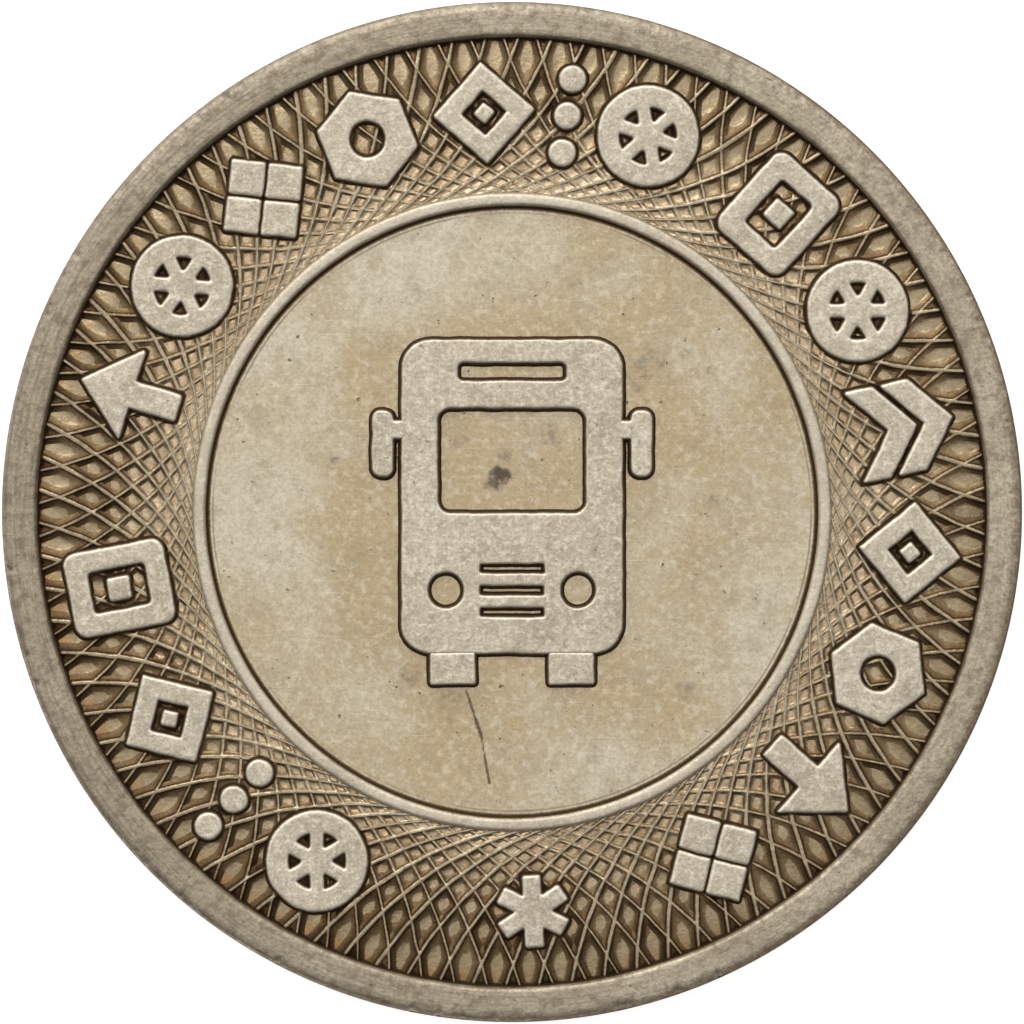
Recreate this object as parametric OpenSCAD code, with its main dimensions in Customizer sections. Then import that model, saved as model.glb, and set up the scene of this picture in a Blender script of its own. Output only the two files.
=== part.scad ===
// Transit token: a struck white-metal disc with a raised rim, an engine-turned band
// that carries a ring of marks, a raised inner ring and a central vehicle emblem.
// Millimetres. The origin is the centre of the disc, +Z leaves the obverse and
// +Y is the top of the obverse. The reverse is turned over about the X axis.

/* [Blank] */
// Outside diameter of the token
token_d = 16.5; // [16:0.1:28]
// Thickness over the two rims
token_h = 1.2; // [1.1:0.05:2]
// Thickness of the layer that holds the struck relief, on each face
skin_h = 0.1; // [0.06:0.01:0.12]

/* [Rim] */
// Width of the rim, as a share of the token's radius
rim_share = 0.073; // [0.05:0.001:0.09]
// Radius of the rounding on the rim's outer corner
corner_r = 0.15; // [0.1:0.01:0.2]
// Width of the chamfer on the rim's inner corner
rim_chamfer = 0.05; // [0.01:0.01:0.09]

/* [Inner ring] */
// Outer radius of the ring's foot, as a share of the token's radius
ring_outer_share = 0.628; // [0.6:0.001:0.66]
// Width of the ring's foot, as a share of the token's radius
ring_w_share = 0.0315; // [0.02:0.0005:0.05]
// Width that each wall of the ring leans in by
ring_lean = 0.05; // [0:0.01:0.06]

/* [Depths below the rim] */
// Centre field
field_depth = 0.17; // [0.15:0.01:0.2]
// Ground of the engine-turned band
band_depth = 0.18; // [0.15:0.01:0.2]
// Top of the inner ring
ring_depth = 0.05; // [0.02:0.01:0.1]
// Top of the marks and stars
mark_depth = 0.04; // [0.02:0.01:0.1]
// Top of the emblem
emblem_depth = 0.03; // [0.02:0.01:0.1]

/* [Marks] */
// Radius at the middle of the ring of marks, as a share of the token's radius
mark_mid_share = 0.783; // [0.77:0.001:0.79]
// Height of a mark along the radius, as a share of the token's radius
mark_h_share = 0.196; // [0.15:0.001:0.2]
// Width of a mark's stroke, as a share of its height
stroke_share = 0.24; // [0.18:0.01:0.26]
// How much less of the ring a column of dots takes than any other mark, in degrees
dots_saving = 10.5; // [8:0.5:11]

/* [Stars] */
// Length across a star's opposite arms, as a share of the token's radius
star_share = 0.139; // [0.1:0.001:0.16]
// Width of a star's arm, as a share of the token's radius
star_arm_share = 0.033; // [0.02:0.001:0.04]

/* [Emblem] */
// Width over the mirrors, as a share of the token's radius
emblem_w_share = 0.545; // [0.4:0.005:0.56]
// Height over the roof and wheels, as a share of the token's radius
emblem_h_share = 0.672; // [0.5:0.001:0.7]

/* [Hidden] */
$fn = 96;
corner_steps = 8;

token_r = token_d / 2;
top_z = token_h / 2;
wall_z = top_z - corner_r;
core_z = top_z - field_depth - skin_h;
field_z = top_z - field_depth;
band_z = top_z - band_depth;
ring_z = top_z - ring_depth;
mark_z = top_z - mark_depth;
emblem_z = top_z - emblem_depth;

rim_inner_r = token_r * (1 - rim_share);
ring_outer_r = token_r * ring_outer_share;
ring_inner_r = ring_outer_r - token_r * ring_w_share;

mark_mid_r = token_r * mark_mid_share;
mark_h = token_r * mark_h_share;
stroke = mark_h * stroke_share;

star_l = token_r * star_share;
star_arm_w = token_r * star_arm_share;

emblem_w = token_r * emblem_w_share;
emblem_h = token_r * emblem_h_share;

// Each run of marks: the angle of its first mark, the pitch from mark to mark
// (clockwise on its own face) and the kinds of mark in order.
run_left = [240.8, 20.1, ["wheel", "dots", "lozenge", "window"]];
run_top = [162.8, 17.2, ["arrow", "wheel", "quartet", "nut", "lozenge", "dots", "wheel"]];
run_right = [48.2, 18, ["window", "wheel", "chevrons", "lozenge", "nut", "arrow", "quartet"]];
run_over = [144, 18, ["quartet", "wheel", "arrow", "nut", "lozenge", "wheel", "quartet"]];
run_under = [324, 18, ["window", "lozenge", "wheel", "chevrons", "wheel", "lozenge", "window"]];
star_angle = 273;
side_star_angles = [0, 180];

rim_tone = "#b3aa9a";
edge_tone = "#a39a8b";
field_tone = "#b8ad8f";
band_tone = "#85765d";
mark_tone = "#aaa191";
core_tone = "#8e8679";

// ---- helpers ----

// Turns what belongs to the reverse over about the X axis, so that it faces -Z.
module reverse_side() {
    rotate([180, 0, 0]) children();
}

// A flat ring between two radii and two heights.
module flat_ring(inner_r, outer_r, low_z, high_z) {
    translate([0, 0, low_z]) difference() {
        cylinder(h = high_z - low_z, r = outer_r);
        translate([0, 0, -1]) cylinder(h = high_z - low_z + 2, r = inner_r);
    }
}

module rounded_box(w, h, r) {
    offset(r = r, $fn = 32) square([w - 2 * r, h - 2 * r], center = true);
}

// ---- marks: flat outlines inside a box of mark_h, drawn with +Y outwards ----

module wheel_outline() {
    outer_r = mark_h / 2;
    spoke_w = stroke * 0.5;
    difference() {
        circle(r = outer_r);
        difference() {
            circle(r = outer_r - stroke * 0.85);
            circle(r = stroke * 0.62);
            for (a = [0, 60, 120]) rotate(a) square([mark_h, spoke_w], center = true);
        }
    }
}

module lozenge_outline() {
    outer_r = mark_h / 2;
    hole_r = outer_r - stroke * 1.1;
    stud_r = hole_r * 0.42;
    difference() {
        circle(r = outer_r, $fn = 4);
        circle(r = hole_r, $fn = 4);
    }
    circle(r = stud_r, $fn = 4);
}

module window_outline() {
    w = mark_h * 0.84;
    difference() {
        rounded_box(w, mark_h, stroke * 0.5);
        rounded_box(w - 1.7 * stroke, mark_h - 1.7 * stroke, stroke * 0.2);
    }
    square(stroke * 0.9, center = true);
}

module arrow_outline() {
    half = mark_h / 2;
    head = mark_h * 0.52;
    polygon([
        [0, half], [half * 0.92, half - head], [stroke * 0.55, half - head],
        [stroke * 0.55, -half], [-stroke * 0.55, -half], [-stroke * 0.55, half - head],
        [-half * 0.92, half - head]
    ]);
}

module nut_outline() {
    difference() {
        rotate(30) circle(r = mark_h / 2, $fn = 6);
        circle(r = mark_h / 2 - stroke * 1.3);
    }
}

module quartet_outline() {
    small = mark_h * 0.235;
    for (a = [0 : 90 : 270]) rotate(a) translate([mark_h / 2 - small, 0]) circle(r = small, $fn = 4);
}

module chevrons_outline() {
    half_w = mark_h * 0.46;
    rise = mark_h * 0.36;
    thick = stroke * 1.15;
    for (base = [-mark_h / 2, mark_h / 2 - rise - thick]) {
        translate([0, base]) polygon([
            [-half_w, 0], [0, rise], [half_w, 0],
            [half_w, thick], [0, rise + thick], [-half_w, thick]
        ]);
    }
}

module dots_outline() {
    dot_r = stroke * 0.54;
    for (i = [-1 : 1]) translate([0, i * (mark_h / 2 - dot_r)]) circle(r = dot_r);
}

module mark_outline(kind) {
    if (kind == "wheel") wheel_outline();
    if (kind == "lozenge") lozenge_outline();
    if (kind == "window") window_outline();
    if (kind == "arrow") arrow_outline();
    if (kind == "nut") nut_outline();
    if (kind == "quartet") quartet_outline();
    if (kind == "chevrons") chevrons_outline();
    if (kind == "dots") dots_outline();
}

function share_of_ring(kind, pitch) = kind == "dots" ? pitch - dots_saving : pitch;

// Angle from the first mark of a run to its mark number i.
function turn_to(kinds, pitch, i) = i == 0 ? 0 :
    turn_to(kinds, pitch, i - 1)
    + (share_of_ring(kinds[i - 1], pitch) + share_of_ring(kinds[i], pitch)) / 2;

module place_on_ring(angle) {
    rotate(angle - 90) translate([0, mark_mid_r, band_z]) children();
}

module mark_run(run) {
    kinds = run[2];
    for (i = [0 : len(kinds) - 1]) {
        place_on_ring(run[0] - turn_to(kinds, run[1], i))
            linear_extrude(height = mark_z - band_z) mark_outline(kinds[i]);
    }
}

module star(angle) {
    place_on_ring(angle) linear_extrude(height = mark_z - band_z) {
        for (a = [0, 60, 120]) rotate(a) square([star_arm_w, star_l], center = true);
    }
}

// ---- emblem: the front of a bus, centred on the token ----

mirror_w = emblem_w * 0.07;
mirror_h = emblem_h * 0.19;
mirror_y = emblem_h * 0.2;
arm_w = emblem_w * 0.035;
arm_h = emblem_h * 0.05;
bus_w = emblem_w - 2 * (mirror_w + arm_w);
wheel_w = bus_w * 0.2;
wheel_drop = emblem_h * 0.09;
wheel_x = bus_w * 0.27;
bus_h = emblem_h - wheel_drop;
bus_y = wheel_drop / 2;
floor_y = bus_y - bus_h / 2;

module bus_body_outline() {
    screen_w = bus_w * 0.68;
    screen_h = bus_h * 0.34;
    screen_y = bus_y + bus_h * 0.115;
    sign_w = bus_w * 0.5;
    sign_h = bus_h * 0.062;
    sign_y = bus_y + bus_h * 0.4;
    lamp_r = bus_w * 0.085;
    lamp_y = floor_y + bus_h * 0.2;
    slot_w = bus_w * 0.3;
    slot_h = bus_h * 0.035;
    difference() {
        translate([0, bus_y]) rounded_box(bus_w, bus_h, bus_w * 0.13);
        translate([0, screen_y]) rounded_box(screen_w, screen_h, bus_w * 0.06);
        translate([0, sign_y]) rounded_box(sign_w, sign_h, sign_h * 0.3);
        for (side = [-1, 1]) translate([side * bus_w * 0.3, lamp_y]) circle(r = lamp_r);
        for (i = [-1 : 1]) {
            translate([0, lamp_y + i * slot_h * 2]) square([slot_w, slot_h], center = true);
        }
    }
}

module bus_mirrors_outline() {
    for (side = [-1, 1]) scale([side, 1]) {
        translate([(emblem_w - mirror_w) / 2, mirror_y]) rounded_box(mirror_w, mirror_h, mirror_w * 0.4);
        translate([bus_w / 2, mirror_y + mirror_h / 2 - arm_h * 1.6]) square([arm_w + mirror_w / 2, arm_h]);
    }
}

module bus_wheels_outline() {
    for (side = [-1, 1]) {
        translate([side * wheel_x, floor_y - wheel_drop / 2])
            square([wheel_w, wheel_drop], center = true);
    }
}

module emblem_relief() {
    translate([0, 0, field_z]) linear_extrude(height = emblem_z - field_z) children();
}

// ---- one module per sub-part ----

module planchet() {
    color(core_tone) cylinder(h = 2 * core_z, r = rim_inner_r, center = true);
}

// The plain cylindrical edge, which a chute or a coin tube guides.
module edge_band() {
    color(edge_tone) flat_ring(rim_inner_r, token_r, -wall_z, wall_z);
}

// Rim, with an arc on its outer corner and a chamfer on its inner one.
module rim() {
    color(rim_tone) rotate_extrude() polygon(concat(
        [[rim_inner_r, wall_z]],
        [for (i = [0 : corner_steps]) [
            token_r - corner_r + corner_r * cos(90 * i / corner_steps),
            wall_z + corner_r * sin(90 * i / corner_steps)
        ]],
        [[rim_inner_r + rim_chamfer, top_z], [rim_inner_r, top_z - rim_chamfer]]
    ));
}

module centre_field() {
    color(field_tone) translate([0, 0, core_z]) cylinder(h = skin_h, r = ring_inner_r);
}

module inner_ring() {
    color(rim_tone) rotate_extrude() polygon([
        [ring_inner_r, core_z], [ring_outer_r, core_z], [ring_outer_r, band_z],
        [ring_outer_r - ring_lean, ring_z], [ring_inner_r + ring_lean, ring_z],
        [ring_inner_r, field_z]
    ]);
}

module lattice_band() {
    color(band_tone) flat_ring(ring_outer_r, rim_inner_r, core_z, band_z);
}

module bus_body() {
    color(mark_tone) emblem_relief() bus_body_outline();
}

module bus_mirrors() {
    color(mark_tone) emblem_relief() bus_mirrors_outline();
}

module bus_wheels() {
    color(mark_tone) emblem_relief() bus_wheels_outline();
}

module marks(run) {
    color(mark_tone) mark_run(run);
}

module stars(angles) {
    color(mark_tone) for (angle = angles) star(angle);
}

planchet();
edge_band();
rim();  // obverse_rim
reverse_side() rim();  // reverse_rim
centre_field();  // obverse_centre_field
inner_ring();  // obverse_inner_ring
lattice_band();  // obverse_lattice_band
bus_body();  // obverse_bus_body
bus_mirrors();  // obverse_bus_mirrors
bus_wheels();  // obverse_bus_wheels
marks(run_left);  // obverse_marks_left
marks(run_top);  // obverse_marks_top
marks(run_right);  // obverse_marks_right
stars([star_angle]);  // obverse_star
reverse_side() centre_field();  // reverse_centre_field
reverse_side() inner_ring();  // reverse_inner_ring
reverse_side() lattice_band();  // reverse_lattice_band
reverse_side() bus_body();  // reverse_bus_body
reverse_side() bus_mirrors();  // reverse_bus_mirrors
reverse_side() bus_wheels();  // reverse_bus_wheels
reverse_side() marks(run_over);  // reverse_marks_upper
reverse_side() marks(run_under);  // reverse_marks_lower
reverse_side() stars(side_star_angles);  // reverse_stars
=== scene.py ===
"""Looks of the struck transit token: worn, toned metal with an engine-turned lattice.

Meshes are worked out in millimetres, in the obverse's own frame (+Z out of the face,
+Y at its top), and go into the row frame in metres. The reverse is the same face
turned over about the X axis.
"""

import math

import bmesh
import bpy
import numpy as np
from mathutils import Matrix, Vector
from mathutils.kdtree import KDTree


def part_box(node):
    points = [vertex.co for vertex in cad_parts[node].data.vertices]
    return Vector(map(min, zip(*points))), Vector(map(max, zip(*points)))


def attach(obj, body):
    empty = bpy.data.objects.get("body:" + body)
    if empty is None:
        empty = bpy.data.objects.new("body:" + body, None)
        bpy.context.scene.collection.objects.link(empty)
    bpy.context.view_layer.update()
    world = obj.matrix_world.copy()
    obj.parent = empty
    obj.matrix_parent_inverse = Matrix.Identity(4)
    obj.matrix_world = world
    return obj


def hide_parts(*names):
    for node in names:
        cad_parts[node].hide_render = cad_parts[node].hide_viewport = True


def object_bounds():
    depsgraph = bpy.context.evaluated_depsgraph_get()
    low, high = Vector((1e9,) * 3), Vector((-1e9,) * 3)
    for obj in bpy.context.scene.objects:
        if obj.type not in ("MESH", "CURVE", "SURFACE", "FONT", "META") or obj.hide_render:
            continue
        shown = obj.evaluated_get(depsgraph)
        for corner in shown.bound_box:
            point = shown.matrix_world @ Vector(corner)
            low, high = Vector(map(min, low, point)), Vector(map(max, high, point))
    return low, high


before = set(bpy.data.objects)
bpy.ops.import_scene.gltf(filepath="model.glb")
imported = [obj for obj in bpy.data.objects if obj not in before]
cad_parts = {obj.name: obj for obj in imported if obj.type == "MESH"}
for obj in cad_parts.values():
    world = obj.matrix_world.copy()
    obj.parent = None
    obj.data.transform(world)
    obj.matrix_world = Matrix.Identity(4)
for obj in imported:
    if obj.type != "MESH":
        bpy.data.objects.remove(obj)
cad_low, cad_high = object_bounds()

MM = 0.001
OBVERSE, REVERSE = 1, -1
SIDES = {"obverse": OBVERSE, "reverse": REVERSE}


# ---- sizes, in millimetres, read from the frame ----


def radius_of(node):
    low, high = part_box(node)
    return max(high.x, high.y) / MM


def top_of(node):
    low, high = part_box(node)
    return max(abs(low.z), abs(high.z)) / MM


TOKEN_R = min(cad_high.x, cad_high.y, -cad_low.x, -cad_low.y) / MM
TOP_Z = cad_high.z / MM
WALL_Z = top_of("edge_band")
RIM_INNER_R = radius_of("planchet")
RING_OUTER_R = radius_of("obverse_inner_ring")
RING_INNER_R = radius_of("obverse_centre_field")
RING_Z = top_of("obverse_inner_ring")
FIELD_Z = top_of("obverse_centre_field")
BAND_Z = top_of("obverse_lattice_band")
CORE_Z = top_of("planchet")

HIDDEN_FOOT_Z = CORE_Z + 0.01  # the feet of all pieces end here, just clear of the core

# The engine turning: 90 circles whose two sides make two mirrored families of arcs.
# A row is where lines that many apart cross.
LINES = 90
PITCH = 360 / LINES
LINE_START = 0.12  # degrees
CIRCLE_R, NEAREST_R = 0.703, 0.6113  # shares of the token's radius
FIRST_ROW, LAST_ROW = 4.6, 15.5
CREST_Z = BAND_Z + 0.055
CREST_HALF_W = 0.012
WANDER = 0.014  # how far the ridges stray to either side
FAMILY_WIDTHS = 0.95, 1.3  # the second family's ridges are the bolder ones
WIDTH_SHAKE = 0.12

# A pit at its widest: the crest falls over a brink to the wall, and the wall to the floor.
WIDE_GAP = 0.46
BRINK_W = 0.025
CREST_DROP = 0.28  # the brink's share of the pit's depth
FLOOR_FROM = 0.11  # the floor's distance from the crest line
PIT_DEPTH = 0.08
FLOOR_TILT = 0.08
DOME = 0.02

# The rim and the edge.
RIM_STEPS = 1440
RIM_SHOULDER_W = 0.11
RIM_CORNER_W = 0.2
NICKS = 70
NICK_W, NICK_DROP = 0.035, 0.05
EDGE_LEVELS, EDGE_DEPTH = 15, 0.3

# The inner ring and the field.
RING_STEPS = 1200
FIELD_CELLS = 300
FIELD_LINE_R = RING_INNER_R - 0.085
FIELD_DISH = 0.012

# The raised figures.
VOXEL = 0.021
DRAFT = 0.07  # how far the walls spread by their foot
OUTLINE_SHAKE = 0.011
ARM_TAIL = 0.07

# The studio: light strengths away from and along the brightest direction.
BRIGHT_WAY = (-0.1, 0.6, 0.78)
DARK_SIDE, BRIGHT_SIDE = 0.02, 1.12
FLOOR_GAP_MM = 0.02
CAMERA_MARGIN = 1.002


# ---- smooth noise for the meshes ----


def smooth_noise(x, y, seed):
    """Value noise from -1 to 1 with features about one unit wide."""
    table = np.random.default_rng(seed).uniform(-1, 1, (256, 256))
    column, row = np.floor(x).astype(int), np.floor(y).astype(int)
    u, v = x - column, y - row
    u, v = u * u * (3 - 2 * u), v * v * (3 - 2 * v)
    left, right = column % 256, (column + 1) % 256
    low, high = row % 256, (row + 1) % 256
    bottom = table[low, left] * (1 - u) + table[low, right] * u
    top = table[high, left] * (1 - u) + table[high, right] * u
    return bottom * (1 - v) + top * v


def layered_noise(x, y, seed, octaves=3):
    total = sum(smooth_noise(x * 2**k, y * 2**k, seed + k) / 2**k for k in range(octaves))
    return total / 1.5


def smooth_step(low, high, value):
    t = np.clip((value - low) / (high - low), 0, 1)
    return t * t * (3 - 2 * t)


# ---- materials ----


class Shader:
    """A material's node tree, built one node at a time."""

    def __init__(self, name):
        self.material = bpy.data.materials.new(name)
        self.material.use_nodes = True
        self.nodes = self.material.node_tree.nodes
        self.links = self.material.node_tree.links
        self.surface = self.nodes["Principled BSDF"]
        self.object_coords = self.add("ShaderNodeTexCoord").outputs["Object"]

    def add(self, kind, **settings):
        node = self.nodes.new(kind)
        for key, value in settings.items():
            setattr(node, key, value)
        return node

    def feed(self, socket, value):
        if isinstance(value, bpy.types.NodeSocket):
            self.links.new(value, socket)
        else:
            socket.default_value = value

    def attribute(self, name):
        return self.add("ShaderNodeAttribute", attribute_name=name).outputs["Fac"]

    def stretched(self, scale, turn=0.0):
        node = self.add("ShaderNodeMapping")
        self.feed(node.inputs["Vector"], self.object_coords)
        node.inputs["Scale"].default_value = scale
        node.inputs["Rotation"].default_value = (0, 0, math.radians(turn))
        return node.outputs["Vector"]

    def turned(self, along_mm, across_mm):
        """Coordinates for noise that is drawn out round the token's axis."""
        flat = self.stretched((1, 1, 0))
        way = self.add("ShaderNodeVectorMath", operation="NORMALIZE")
        self.feed(way.inputs[0], flat)
        drawn = self.add("ShaderNodeVectorMath", operation="SCALE")
        self.feed(drawn.inputs[0], way.outputs["Vector"])
        drawn.inputs["Scale"].default_value = TOKEN_R / along_mm
        radius = self.add("ShaderNodeVectorMath", operation="LENGTH")
        self.feed(radius.inputs[0], flat)
        across = self.math("MULTIPLY", radius.outputs["Value"], 1 / (across_mm * MM))
        lift = self.add("ShaderNodeCombineXYZ")
        self.feed(lift.inputs["Z"], across)
        both = self.add("ShaderNodeVectorMath", operation="ADD")
        self.feed(both.inputs[0], drawn.outputs["Vector"])
        self.feed(both.inputs[1], lift.outputs["Vector"])
        return both.outputs["Vector"]

    def plain_noise(self, vector, detail=3.0, roughness=0.5, scale=1.0):
        """Noise with features about one unit of its coordinates wide, over the scale."""
        node = self.add("ShaderNodeTexNoise")
        self.feed(node.inputs["Vector"], vector)
        node.inputs["Scale"].default_value = scale
        node.inputs["Detail"].default_value = detail
        node.inputs["Roughness"].default_value = roughness
        return node.outputs["Fac"]

    def noise(self, size_mm, detail=3.0, roughness=0.5, vector=None):
        """Noise with features about size_mm wide."""
        return self.plain_noise(vector or self.object_coords, detail, roughness, 1 / (size_mm * MM))

    def math(self, operation, a, b=0.0, clamp=False):
        node = self.add("ShaderNodeMath", operation=operation, use_clamp=clamp)
        self.feed(node.inputs[0], a)
        self.feed(node.inputs[1], b)
        return node.outputs["Value"]

    def span(self, value, low, high, to_low=0.0, to_high=1.0):
        node = self.add("ShaderNodeMapRange", interpolation_type="SMOOTHSTEP")
        self.feed(node.inputs["Value"], value)
        node.inputs["From Min"].default_value = low
        node.inputs["From Max"].default_value = high
        node.inputs["To Min"].default_value = to_low
        node.inputs["To Max"].default_value = to_high
        return node.outputs["Result"]

    def near(self, value, limit, softness=0.15):
        """One where a distance is under a limit, in millimetres, with a soft edge."""
        return self.span(value, limit * (1 - softness), limit * (1 + softness), 1.0, 0.0)

    def ragged(self, value, noise, amount):
        """A value made uneven by a noise that is centred on a half."""
        change = self.math("MULTIPLY", self.math("SUBTRACT", noise, 0.5), amount)
        return self.math("ADD", value, change)

    def differ(self, value, target):
        """How far a value is from a target, either way."""
        return self.math("ABSOLUTE", self.math("SUBTRACT", value, target))

    def mix(self, factor, a, b, blend="MIX"):
        node = self.add("ShaderNodeMix", data_type="RGBA", blend_type=blend)
        self.feed(node.inputs["Factor"], factor)
        self.feed(node.inputs[6], a)
        self.feed(node.inputs[7], b)
        return node.outputs[2]

    def bump(self, height, depth_mm, normal=None):
        node = self.add("ShaderNodeBump")
        node.inputs["Distance"].default_value = depth_mm * MM
        self.feed(node.inputs["Height"], height)
        if normal is not None:
            self.feed(node.inputs["Normal"], normal)
        return node.outputs["Normal"]


def rgb(red, green, blue):
    """A colour given as screen values from 0 to 255, made linear."""
    parts = [c / 255 for c in (red, green, blue)]
    linear = [c / 12.92 if c <= 0.04045 else ((c + 0.055) / 1.055) ** 2.4 for c in parts]
    return (*linear, 1.0)


# The first two browns darken recesses and the feet of raised parts: partly patina, partly painted
# shade.
PATINA_AND_SHADE = rgb(68, 50, 33)
SEPIA = rgb(120, 98, 68)
RUST = rgb(164, 118, 66)


def finish_metal(s, base, grime, grain, normal, metallic, gloss=0.36, dull=0.7):
    """Lays the recess tone over a base colour and sets the gloss; the recess tone is partly patina
    and partly painted shade.
    """
    ragged = s.ragged(grime, grain, 0.35)
    base = s.mix(s.span(ragged, 0.12, 0.55), base, SEPIA)
    base = s.mix(s.span(ragged, 0.45, 0.85), base, PATINA_AND_SHADE)
    s.feed(s.surface.inputs["Base Color"], base)
    s.surface.inputs["Metallic"].default_value = metallic
    roughness = s.span(s.math("ADD", grain, grime), 0.3, 1.3, gloss, dull)
    s.feed(s.surface.inputs["Roughness"], roughness)
    s.feed(s.surface.inputs["Normal"], normal)
    return s.material


def worn_metal(name, clean, toned, mottle=0.35):
    """Struck white metal: bright where it is rubbed, with a painted highlight along the figures'
    top edges, toned in clouds, brown in the recesses as patina and painted shade.
    """
    s = Shader(name)
    grime = s.attribute("grime")
    grain = s.noise(0.055, detail=4.0, roughness=0.7)
    flecks = s.noise(0.1, detail=5.0, roughness=0.75)
    blotch = s.noise(0.36, detail=5.0, roughness=0.7)
    cloud = s.noise(1.3, detail=4.0, roughness=0.55)
    pits = s.noise(0.11, detail=2.0, roughness=0.6)

    base = s.mix(s.span(cloud, 0.38, 0.66), clean, toned)
    base = s.mix(s.span(blotch, 0.46, 0.68, 0.0, 1.1 * mottle), base, rgb(146, 134, 115))
    base = s.mix(s.span(grain, 0.32, 0.66, 0.0, 1.3 * mottle), base, rgb(134, 122, 103))
    base = s.mix(s.span(flecks, 0.47, 0.66, 0.0, 1.9 * mottle), base, rgb(240, 231, 212))
    base = s.mix(s.span(pits, 0.67, 0.76, 0.0, 0.5), base, SEPIA)
    # Painted highlight: a pale band along the figures' top edges on all sides, partly rubbed wear.
    base = s.mix(s.math("MULTIPLY", s.attribute("rubbed"), 0.7), base, rgb(248, 238, 220))
    normal = s.bump(cloud, 0.03, s.bump(flecks, 0.008, s.bump(grain, 0.006)))
    return finish_metal(s, base, grime, grain, normal, 0.75)


def rim_metal_of(name):
    """The rim and edge: streaked round the axis, scuffed, toned and rubbed where vertices say; the
    toning includes painted shade on one side, and the rubbed dents carry painted glints.
    """
    s = Shader(name)
    grime = s.attribute("grime")
    grain = s.noise(0.06, detail=4.0, roughness=0.65)
    streaks = s.plain_noise(s.turned(0.9, 0.05), detail=3.0, roughness=0.6)
    scuffs = s.noise(0.2, detail=4.0, roughness=0.65)
    cloud = s.noise(1.1, detail=3.0)
    pits = s.noise(0.13, detail=2.0, roughness=0.6)
    base = s.mix(s.span(cloud, 0.36, 0.66), rgb(208, 195, 171), rgb(188, 175, 152))
    # Darker towards -X where vertices say, with darker streaks there: partly painted shade, partly
    # toning.
    base = s.mix(s.math("MULTIPLY", s.attribute("tone"), 0.5), base, rgb(158, 145, 125))
    base = s.mix(s.span(streaks, 0.36, 0.66, 0.0, 0.28), base, rgb(146, 133, 112))
    base = s.mix(s.span(scuffs, 0.45, 0.66, 0.0, 0.62), base, rgb(126, 113, 95))
    darker = s.span(streaks, 0.46, 0.62, 0.0, 0.3)
    darker = s.math("ADD", darker, s.span(scuffs, 0.5, 0.64, 0.0, 0.15))
    base = s.mix(s.math("MULTIPLY", darker, s.attribute("tone")), base, rgb(98, 85, 68))
    base = s.mix(s.span(grain, 0.32, 0.68, 0.0, 0.5), base, rgb(130, 117, 98))
    base = s.mix(s.span(pits, 0.69, 0.76, 0.0, 0.7), base, rgb(92, 78, 60))
    rubbed = s.plain_noise(s.turned(0.35, 0.03), detail=2.0, roughness=0.6)
    base = s.mix(s.span(rubbed, 0.6, 0.75, 0.0, 0.4), base, rgb(214, 203, 181))
    # Painted glints on the rim's dents, towards the upper right, partly worn bright metal.
    base = s.mix(s.math("MULTIPLY", s.attribute("bright"), 0.9), base, rgb(246, 240, 226))
    normal = s.bump(scuffs, 0.012, s.bump(streaks, 0.004, s.bump(grain, 0.006)))
    return finish_metal(s, base, grime, grain, normal, 0.75)


def band_patina_and_shade(s, crest, grain, torn, cloud):
    """Where the band is dark: its walls, as patina and painted shade; a painted shade line beside
    each ridge; painted shade round figures' feet, partly patina; and painted shade with dirt by the
    rim.
    """
    size, floor, tone = s.attribute("size"), s.attribute("floor"), s.attribute("tone")
    bottom = s.span(s.ragged(floor, torn, 0.22), 0.9, 0.98)
    bare = s.math("MAXIMUM", crest, s.math("MULTIPLY", bottom, 0.9))
    # Walls get painted shade over their patina, darkest beside the crest and more towards the lower
    # left of the band.
    worst = s.math("ADD", s.span(size, 0.3, 1.0, 0.23, 0.56), s.math("MULTIPLY", tone, 0.04))
    deep = s.span(floor, 0.4, 0.95, 1.0, 0.72)
    grime = s.math("MULTIPLY", s.math("SUBTRACT", 1.0, bare), s.math("MULTIPLY", worst, deep))
    grime = s.math("ADD", grime, s.span(cloud, 0.4, 0.7, -0.06, 0.1))
    grime = s.math("ADD", grime, s.math("MULTIPLY", tone, 0.06))
    grime = s.math("ADD", grime, s.math("MULTIPLY", s.attribute("whim"), 0.08))
    # Painted shade: a dark line beside each ridge, on both sides.
    beside = s.math("MINIMUM", s.attribute("near_a"), s.attribute("near_b"))
    line = s.near(s.differ(s.ragged(beside, grain, 0.01), 0.033), 0.013, 0.4)
    grime = s.math("ADD", grime, s.math("MULTIPLY", line, s.span(size, 0.3, 0.9, 0.06, 0.22)))
    # Painted shade round the feet of the figures, partly patina.
    foot = s.near(s.ragged(s.attribute("away"), torn, 0.04), 0.075, 0.3)
    grime = s.math("MAXIMUM", grime, s.math("MULTIPLY", foot, 0.8))
    shade = s.span(s.ragged(s.attribute("rim"), torn, 0.2), 0.72, 0.95, 0.0, 0.95)
    return s.math("MAXIMUM", grime, shade)


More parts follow.
